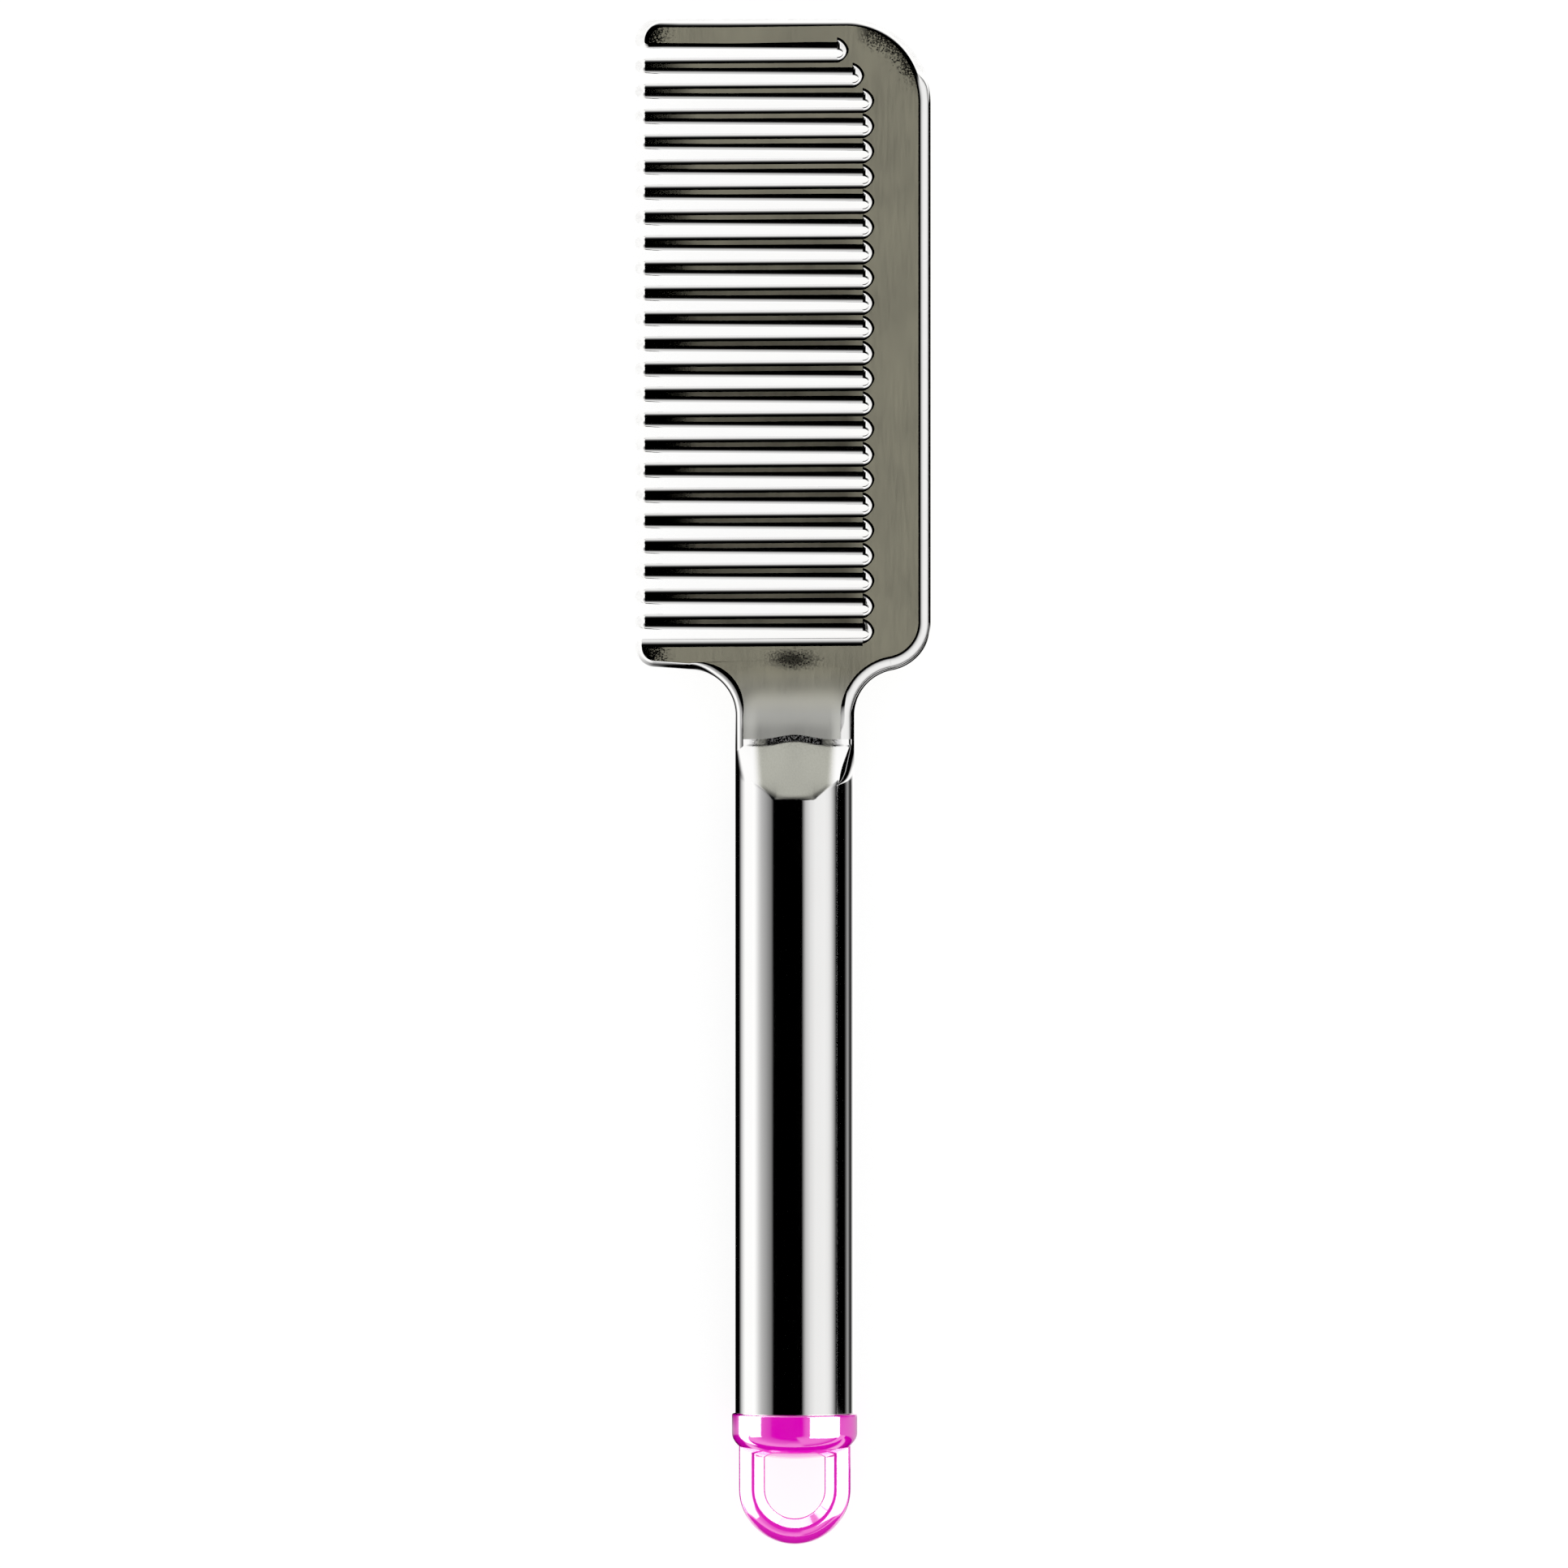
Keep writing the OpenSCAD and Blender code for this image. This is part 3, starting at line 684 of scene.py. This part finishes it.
def make_cap(pink):
    """The cap: its plug's outside, the rim with its rounded edge, and the dome."""
    skin = Skin()
    turned(skin, [(PLUG_R, Y_TUBE_END + PLUG_LEN, 1, 0), (PLUG_R, Y_TUBE_END, 1, 0)])
    edge_r = CAP_R - CAP_EDGE_R
    profile = [(PLUG_R, Y_TUBE_END, 0, 1), (edge_r, Y_TUBE_END, 0, 1)]
    for k in range(1, 7):
        c, s = math.cos(math.radians(15 * k)), math.sin(math.radians(15 * k))
        profile.append((edge_r + CAP_EDGE_R * s, Y_TUBE_END - CAP_EDGE_R + CAP_EDGE_R * c, s, c))
    profile.append((CAP_R, Y_TUBE_END - CAP_RIM, 1, 0))
    dome_r = CAP_R - DOME_FLAT_R
    for k in range(1, 25):
        a = math.radians(90 - 90 * k / 24)
        profile.append((DOME_FLAT_R + dome_r * math.sin(a), Y_CAP_END + DOME_H * (1 - math.cos(a)),
                        math.sin(a) / dome_r, -math.cos(a) / DOME_H))
    profile.append((0.0, Y_CAP_END, 0, -1))
    turned(skin, [(r, y, *unit(normal)) for r, y, *normal in profile])
    return skin.build("cap_dome", [pink])


def fillet_section():
    """The loop's six-cornered section, with its ridge and its edges rounded: (place, height, normal)."""
    ridge = lerp(LOOP_IN_R, LOOP_OUT_R, RIDGE_AT)
    soft, round_edge = 0.5, 1.0
    corners = [((LOOP_IN_R, -LOOP_EDGE_H), soft), ((ridge, -RIDGE_H), soft),
               ((LOOP_OUT_R, -LOOP_EDGE_H), round_edge), ((LOOP_OUT_R, LOOP_EDGE_H), round_edge),
               ((ridge, RIDGE_H), soft), ((LOOP_IN_R, LOOP_EDGE_H), soft)]
    out = []
    for k, (corner, radius) in enumerate(corners):
        before, after = corners[k - 1][0], corners[(k + 1) % 6][0]
        u = unit((before[0] - corner[0], before[1] - corner[1]))
        v = unit((after[0] - corner[0], after[1] - corner[1]))
        half = math.acos(max(min(u[0] * v[0] + u[1] * v[1], 1), -1)) / 2
        reach = radius / math.tan(half)
        middle = unit((u[0] + v[0], u[1] + v[1]))
        centre = tuple(c + m * radius / math.sin(half) for c, m in zip(corner, middle))
        start = math.atan2(corner[1] + u[1] * reach - centre[1], corner[0] + u[0] * reach - centre[0])
        turn = math.pi - 2 * half
        for j in range(9):
            a = start + turn * j / 8
            out.append((centre[0] + radius * math.cos(a), centre[1] + radius * math.sin(a),
                        (math.cos(a), math.sin(a))))
    return out


def make_loop(pink):
    """The loop: one section carried down a leg, round the bend and up the other leg."""
    skin = Skin()
    shape = fillet_section()
    leg = (-86.9, -89.0, -91.2, -93.2)  # from inside the cap to the bend
    frames = [(0.0, y) for y in leg]
    frames += [(-180 * k / 72, Y_BEND) for k in range(73)]
    frames += [(-180.0, y) for y in reversed(leg)]
    rows = []
    for turn, y in frames:
        c, s = math.cos(math.radians(turn)), math.sin(math.radians(turn))
        low = smooth(-s * 1.4 - 0.3)  # 1 at the bottom of the bend, where the shading is drawn differently
        row = []
        for r, z, (nr, nz) in shape + shape[:1]:
            lean = lerp(1.0, 0.55 if nr < 0 else lerp(0.8, 3.0, smooth((r - 5.7) / 1.6)), low)
            row.append(((X_HANDLE + r * c, y + r * s, z), (nr * c * lean, nr * s * lean, nz)))
        rows.append(row)
    for a, b in zip(rows, rows[1:]):
        for k in range(len(a) - 1):
            skin.face([a[k], b[k], b[k + 1], a[k + 1]])
    for row in (rows[0], rows[-1]):
        skin.face([(p, (0, 1, 0)) for p, _ in row[:-1]])
    return skin.build("loop_ring", [pink])


blade = make_blade(satin_steel(), polished_steel())
tube = make_tube(tube_chrome())
cap = make_cap(gloss_pink("cap_gloss_plastic", (0.88, 0.0, 0.60), (0.84, 0.0, 0.56)))
loop = make_loop(gloss_pink("loop_gloss_plastic", (0.92, 0.02, 0.62), (0.88, 0.01, 0.58)))
for piece, node, slot in ((blade, "comb_blade", "satin_steel"), (tube, "handle_tube", "tube_chrome"),
                          (cap, "end_cap", "cap_plastic"), (loop, "hang_loop", "loop_plastic")):
    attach(piece, "root")
    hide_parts(node)


# ---------------------------------------------------------------- floor, world, lamps and camera
GLOSS = 1.05  # how bright mirrors see the studio, against the plain white that the camera sees


def make_floor():
    """A plain white floor, on which only mirrors see dark and grey flags painted beside the handle: painted
    dark reflections, which left of and under the handle are painted shade.
    """
    mesh = bpy.data.meshes.new("floor")
    far = 4.0
    mesh.from_pydata([(-far, -far, 0), (far, -far, 0), (far, far, 0), (-far, far, 0)], [], [(0, 1, 2, 3)])
    floor = bpy.data.objects.new("floor", mesh)
    bpy.context.scene.collection.objects.link(floor)
    material = bpy.data.materials.new("floor_white")
    material.use_nodes = True
    tree = material.node_tree
    tree.nodes.clear()
    n = Nodes(tree)
    x, y, _ = n.place()
    path = n.add("ShaderNodeLightPath").outputs
    # The flags spread with their distance from the handle
    spread = n.math("ADD", 1.0, n.math("MULTIPLY", n.math("ABSOLUTE", x), 0.57))
    y = n.math("DIVIDE", y, spread)

    def zone(x0, x1, y0, y1, soft=0.001):
        """1 inside this rectangle and 0 outside it, in metres, with soft sides."""
        return n.product(n.span(x, x0 - soft, x0 + soft, 0, 1), n.span(x, x1 - soft, x1 + soft, 1, 0),
                         n.span(y, y0 - soft, y0 + soft, 0, 1), n.span(y, y1 - soft, y1 + soft, 1, 0))

    def flag(mask, value):
        """How much light is left where a flag of this value lies."""
        return n.math("SUBTRACT", 1.0, n.math("MULTIPLY", mask, n.math("SUBTRACT", 1.0, value)))

    left = n.ramp(n.span(x, -0.040, 0.0), [
        (0.0, 1.0), (0.12, 0.98), (0.30, 0.82), (0.45, 0.52), (0.545, 0.18), (0.59, 0.0)])
    right = n.ramp(n.span(x, 0.0, 0.060), [
        (0.0, 1.0), (0.225, 1.0), (0.265, 0.5), (0.29, 0.02), (0.325, 0.02), (0.365, 0.08),
        (0.41, 0.30), (0.46, 0.25), (0.505, 0.13), (0.59, 0.01), (0.67, 0.0)])
    seen = n.product(
        # Left and right of the handle, and of the neck; the black left of and under the handle is painted
        # shade that only mirrors see
        flag(zone(-0.5, 0.004, -0.088, 0.008, 0.003), left),
        flag(zone(-0.5, -0.0115, 0.002, 0.0135), left),
        flag(zone(0.012, 5.0, -0.0852, 0.001, 0.0003), right),
        flag(zone(0.012, 5.0, -0.0915, -0.0852, 0.0003), 0.45),
        flag(zone(0.0095, 0.5, 0.003, 0.0145), 0.0),
        # Beside the spine, both sides of the loop, and past the loop
        flag(zone(0.037, 5.0, 0.016, 0.097, 0.002), 0.0),
        flag(zone(-0.050, -0.0055, -0.100, -0.088), 0.0),
        flag(zone(0.0085, 0.050, -0.100, -0.0915), 0.0),
        flag(zone(-0.060, 0.060, -0.5, -0.108, 0.002), 0.0))
    white = 0.80  # of its own light; the rest is what the floor scatters, so that it keeps the shadow
    mirrored = n.math("SUBTRACT", n.math("MULTIPLY", seen, GLOSS), white)
    paper = n.math("ADD", white, n.math("MULTIPLY", path["Is Glossy Ray"], mirrored))
    glow = n.add("ShaderNodeEmission", {"Color": (1, 1, 1, 1), "Strength": paper}).outputs[0]
    cloth = n.add("ShaderNodeBsdfDiffuse", {"Color": (0.25, 0.25, 0.25, 1)}).outputs[0]
    both = n.add("ShaderNodeAddShader", {0: glow, 1: cloth}).outputs[0]
    mixed = n.add("ShaderNodeMixShader", {0: path["Is Glossy Ray"], 1: both, 2: glow}).outputs[0]
    n.add("ShaderNodeOutputMaterial", {0: mixed})
    mesh.materials.append(material)
    material.cycles.emission_sampling = "NONE"


def make_world():
    """A white studio, in which mirrors see a black card overhead and grey cards round it.
    Each card covers a sector of directions, in degrees round the comb, and its brightness goes by the
    angle from straight up."""
    world = bpy.data.worlds.new("studio")
    bpy.context.scene.world = world
    world.use_nodes = True
    tree = world.node_tree
    tree.nodes.clear()
    n = Nodes(tree)
    x, y, z = n.place("Generated")
    path = n.add("ShaderNodeLightPath").outputs
    from_top = n.math("DIVIDE", n.math("ARCCOSINE", z), math.pi / 2, clamp=True)
    from_right = n.math("MULTIPLY", n.math("ARCTAN2", y, x), 180 / math.pi)
    from_left = n.math("MULTIPLY", n.math("ARCTAN2", y, n.math("MULTIPLY", x, -1.0)), 180 / math.pi)
    right = [(0, 0.0), (14, 0.0), (21, 0.5), (30, 0.72), (40, 0.84), (60, 0.86), (68, 0.81), (73.4, 0.70),
             (77.4, 0.55), (81.5, 0.34), (85.7, 0.12), (88, 0.0), (90, 0.0)]
    far_right = [(0, 0.0), (44, 0.0), (56, 0.6), (66, 0.95), (90, 1.0)]
    far = [(0, 0.0), (31, 0.0), (37, 0.03), (46, 0.17), (58, 0.42), (66, 0.60), (71, 0.82), (76, 0.95),
           (90, 1.0)]
    far_left = [(0, 0.0), (42, 0.0), (52, 0.5), (62, 0.95), (90, 1.0)]
    left = [(0, 0.0), (42, 0.0), (47, 0.18), (61, 0.38), (68.6, 0.49), (76, 0.71), (84, 0.98), (90, 1.03)]
    near = [(0, 0.0), (38, 0.0), (45, 0.03), (52, 0.20), (60, 0.40), (66, 0.56), (71, 0.78), (76, 0.92),
            (90, 0.95)]
    total = 0.0
    for angle, low, high, soft, profile in (
            (from_right, -81, 24, 4, right), (from_right, 24, 80, 5, far_right),
            (from_right, 80, 100, 5, far), (from_right, 100, 162, 5, far_left),
            (from_left, -80, 18, 4, left), (from_right, -100, -81, 4, near)):
        inside = n.product(n.span(angle, low - soft, low + soft, 0, 1, "SMOOTHSTEP"),
                           n.span(angle, high - soft, high + soft, 1, 0, "SMOOTHSTEP"))
        card = n.product(inside, n.ramp(from_top, [(degrees / 90, grey) for degrees, grey in profile]))
        total = n.math("ADD", total, card)
    # Below the horizon it is white again
    sky = n.add("ShaderNodeMix", {0: n.span(z, -0.002, 0.0, 1, 0), 2: total, 3: 1.0}, data_type="FLOAT")
    bright = n.math("SUBTRACT", n.math("MULTIPLY", sky.outputs[0], GLOSS), 1.0)
    plain = n.math("ADD", 1.0, n.math("MULTIPLY", path["Is Glossy Ray"], bright))
    back = n.add("ShaderNodeBackground", {"Color": (1, 1, 1, 1), "Strength": plain}).outputs[0]
    n.add("ShaderNodeOutputWorld", {0: back})
    world.cycles.sampling_method = "NONE"


def make_lamps(pieces):
    """Strip lights that only the glossy plastic mirrors, so that its highlights go white."""
    radiance, facing_up = 5.0, (math.pi, 0, math.pi / 2)
    groups = {}
    for piece in pieces:
        groups[piece.name] = bpy.data.collections.new("lit_" + piece.name)
        groups[piece.name].objects.link(piece)
    # Each one's place, the way it faces, its width and height in metres, and the piece that mirrors it
    for name, place, towards, width, height, lit in (
            ("lamp_left", (-0.40, -0.06, 0.10), (1, 0, 0), 0.75, 0.20, "loop_ring"),
            ("lamp_low_left", (-0.21, 0.095, 0.001), (0, 0, 1), 0.41, 0.376, "loop_ring"),
            ("lamp_right", (0.335, -0.06, 0.165), (-1, 0, -1), 0.75, 0.467, "loop_ring"),
            ("lamp_back", (-0.15, 0.36, 0.26), (0, -1, 0), 1.20, 0.44, "loop_ring"),
            ("lamp_cap_left", (-0.40, 0.07, 0.10), (1, 0, 0), 0.56, 0.20, "cap_dome"),
            ("lamp_cap_low", (-0.21, 0.092, 0.001), (0, 0, 1), 0.416, 0.376, "cap_dome"),
            ("lamp_cap_right", (0.335, 0.05, 0.165), (-1, 0, -1), 0.60, 0.467, "cap_dome")):
        light = bpy.data.lights.new(name, "AREA")
        light.shape, light.size, light.size_y = "RECTANGLE", width, height
        light.energy = radiance * math.pi * width * height
        lamp = bpy.data.objects.new(name, light)
        bpy.context.scene.collection.objects.link(lamp)
        lamp.location = place
        turn = mathutils.Vector(towards).to_track_quat("-Z", "Y").to_euler()
        lamp.rotation_euler = facing_up if towards == (0, 0, 1) else turn
        lamp.visible_camera = lamp.visible_diffuse = lamp.visible_transmission = False
        lamp.light_linking.receiver_collection = groups[lit]


def make_camera():
    """Straight above the comb, from far off, as in the photograph."""
    distance, face_height = 1.7584, 0.010
    data = bpy.data.cameras.new("camera")
    data.lens, data.sensor_width = 300, 36
    camera = bpy.data.objects.new("camera", data)
    bpy.context.scene.collection.objects.link(camera)
    camera.location = (0.00005, -0.00035, face_height + distance)
    bpy.context.scene.camera = camera


make_floor()
make_world()
make_lamps([cap, loop])
make_camera()
bpy.context.scene.view_settings.view_transform = "Standard"
